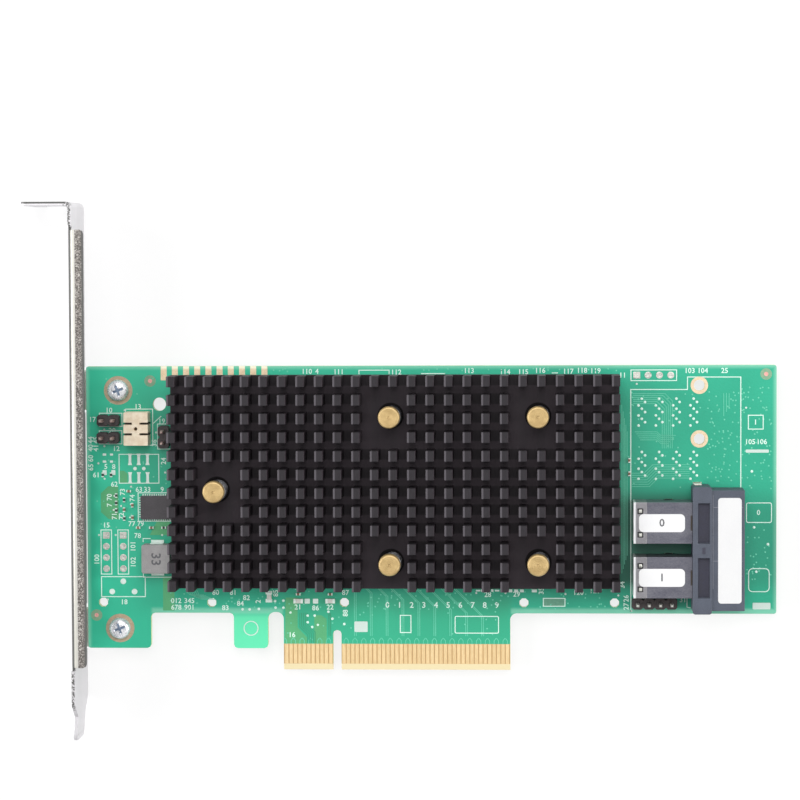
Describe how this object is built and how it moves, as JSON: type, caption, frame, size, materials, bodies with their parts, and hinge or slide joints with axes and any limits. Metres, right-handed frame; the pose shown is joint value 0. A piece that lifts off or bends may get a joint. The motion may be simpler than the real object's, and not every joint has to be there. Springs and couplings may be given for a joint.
{
  "type": "raid controller card",
  "caption": "Low-profile expansion board with a gold edge connector, a pin-fin heatsink held by brass push pins, a twin internal cable port and a full-height bracket.",
  "frame": {"origin": "where the centre line of the key notch meets the line of the edge contact tips, on the component face of the board", "axes": "+X along the card from the bracket to the cable ports, +Y from the contact tips to the top edge, +Z out of the component face"},
  "size_m": [0.1679, 0.1209, 0.0184],
  "materials": {
    "board_green": "glossy solder mask",
    "contact_gold": "satin gold plating",
    "sink_aluminium": "dull dark grey, sawn fins",
    "laminate_green": "matte laminate",
    "lid_nickel": "satin nickel plate",
    "pad_grey": "soft matte",
    "pin_brass": "satin turned brass",
    "spring_steel": "satin wire",
    "bracket_steel": "satin nickel-plated sheet",
    "screw_steel": "polished zinc plate",
    "port_metal": "satin plated sheet",
    "port_moulding": "matte moulding",
    "guide_plastic": "matte dark grey moulding",
    "clip_plate": "dull tin plate",
    "label_white": "matte label",
    "header_moulding": "matte dark moulding",
    "pin_tin": "bright tin plate",
    "cream_moulding": "matte cream moulding",
    "chip_black": "fine matte epoxy",
    "core_grey": "fine matte pressed core",
    "cap_tan": "fired ceramic",
    "resistor_black": "fired ceramic",
    "fuse_white": "fired ceramic"
  },
  "bodies": {
    "root": {"activity_header_body": "header_moulding", "activity_header_pins": "pin_tin", "bracket": "bracket_steel", "bracket_screw_lower": "screw_steel", "bracket_screw_upper": "screw_steel", "chip_capacitors": "cap_tan", "chip_fuses": "fuse_white", "chip_resistors": "resistor_black", "circuit_board": "board_green", "clock_crystal": "lid_nickel", "console_header_body": "header_moulding", "console_header_pins": "pin_tin", "controller_lid": "lid_nickel", "controller_substrate": "laminate_green", "cream_socket": "cream_moulding", "cream_socket_contacts": "pin_tin", "edge_contacts_front": "contact_gold", "edge_contacts_rear": "contact_gold", "fault_header_body": "header_moulding", "fault_header_pins": "pin_tin", "firmware_flash": "chip_black", "guide_clips": "clip_plate", "guide_sticker": "label_white", "heatsink": "sink_aluminium", "heatsink_pin_lower_left": "pin_brass", "heatsink_pin_lower_right": "pin_brass", "heatsink_pin_outer": "pin_brass", "heatsink_pin_upper_left": "pin_brass", "heatsink_pin_upper_right": "pin_brass", "pin_spring_lower_left": "spring_steel", "pin_spring_lower_right": "spring_steel", "pin_spring_outer": "spring_steel", "pin_spring_upper_left": "spring_steel", "pin_spring_upper_right": "spring_steel", "port_cap_lower": "port_metal", "port_cap_upper": "port_metal", "port_guide": "guide_plastic", "port_insert_lower": "port_moulding", "port_insert_upper": "port_moulding", "port_shell_lower": "port_metal", "port_shell_upper": "port_metal", "port_sticker_lower": "label_white", "port_sticker_upper": "label_white", "power_inductor_core": "core_grey", "power_inductor_straps": "pin_tin", "rear_capacitors": "cap_tan", "regulator_chip": "chip_black", "service_header_body": "header_moulding", "service_header_pins": "pin_tin", "thermal_pad": "pad_grey", "top_test_pads": "contact_gold"}
  },
  "joints": []
}
